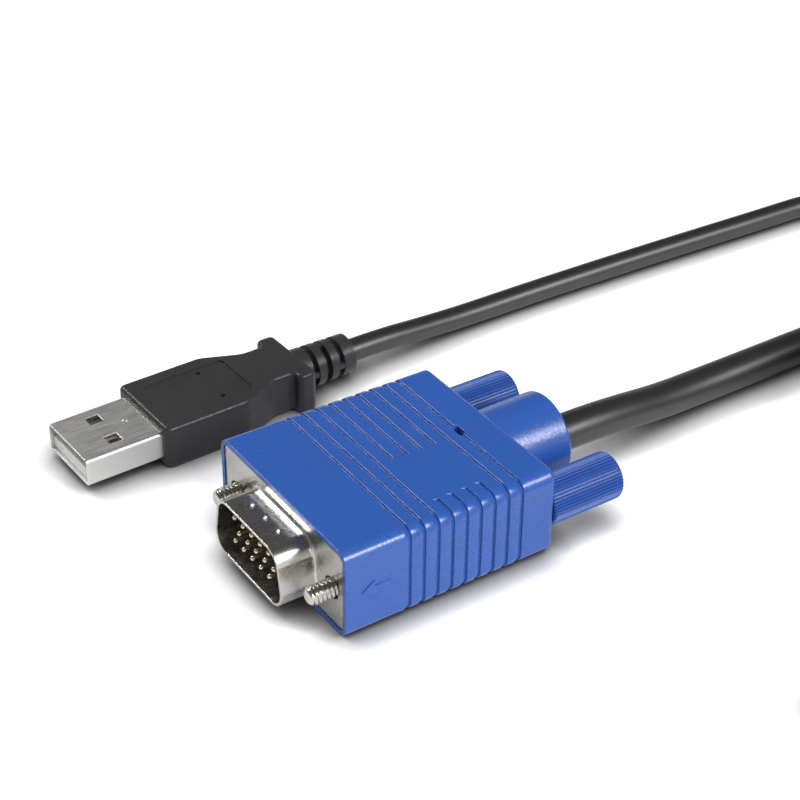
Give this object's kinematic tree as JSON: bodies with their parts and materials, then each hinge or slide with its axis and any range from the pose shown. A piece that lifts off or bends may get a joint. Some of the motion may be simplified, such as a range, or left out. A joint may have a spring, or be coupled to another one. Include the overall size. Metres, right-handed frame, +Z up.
{
  "type": "crash cart adapter console lead",
  "caption": "Console lead with a ribbed blue video plug on captive thumbscrews and a flat black USB plug, each on its own black cord to a shared plug at the far end.",
  "frame": {"origin": "on the table under the middle of the box round the two plugs, cords left out", "axes": "+Z up from the table, -Y along the video plug towards its mating face, +X to the right seen from behind the plugs"},
  "size_m": [0.1261, 0.1753, 0.0204],
  "materials": {
    "hood_blue": "satin moulded",
    "nickel": "bright nickel plate",
    "usb_steel": "satin nickel plate",
    "screw_steel": "nickel plate",
    "contact_metal": "thin gold flash",
    "black_plastic": "matt",
    "inner_plastic": "matt",
    "white_plastic": "satin",
    "grip_black": "satin moulded",
    "cord_black": "satin jacket"
  },
  "bodies": {
    "root": {"vga_hood": "hood_blue", "vga_front_shell": "nickel", "vga_rear_shell": "nickel", "vga_insulator": "black_plastic", "vga_contacts": "contact_metal", "vga_inner_mould": "inner_plastic", "usb_shell": "usb_steel", "usb_tongue": "white_plastic", "usb_contacts": "contact_metal", "usb_inner_mould": "inner_plastic", "usb_overmould": "grip_black", "vga_cord": "cord_black", "vga_coil": "cord_black", "vga_coil_tie": "grip_black", "vga_tail": "cord_black", "usb_cord": "cord_black", "usb_coil": "cord_black", "usb_coil_tie": "grip_black", "usb_tail": "cord_black", "console_plug_hood": "grip_black", "console_plug_shell": "nickel", "console_plug_insulator": "black_plastic", "console_plug_contacts": "contact_metal"},
    "thumbscrew_left": {"left_jackscrew": "screw_steel", "left_thumb_knob": "hood_blue"},
    "thumbscrew_right": {"right_jackscrew": "screw_steel", "right_thumb_knob": "hood_blue"}
  },
  "joints": [
    {"name": "left_thumbscrew_turn", "type": "hinge", "parent": "root", "child": "thumbscrew_left", "pos_m": [0.00211, -0.01615, 0.00635], "axis": [0, -1, 0], "continuous": true},
    {"name": "right_thumbscrew_turn", "type": "hinge", "parent": "root", "child": "thumbscrew_right", "pos_m": [0.0271, -0.01615, 0.00635], "axis": [0, -1, 0], "continuous": true}
  ]
}
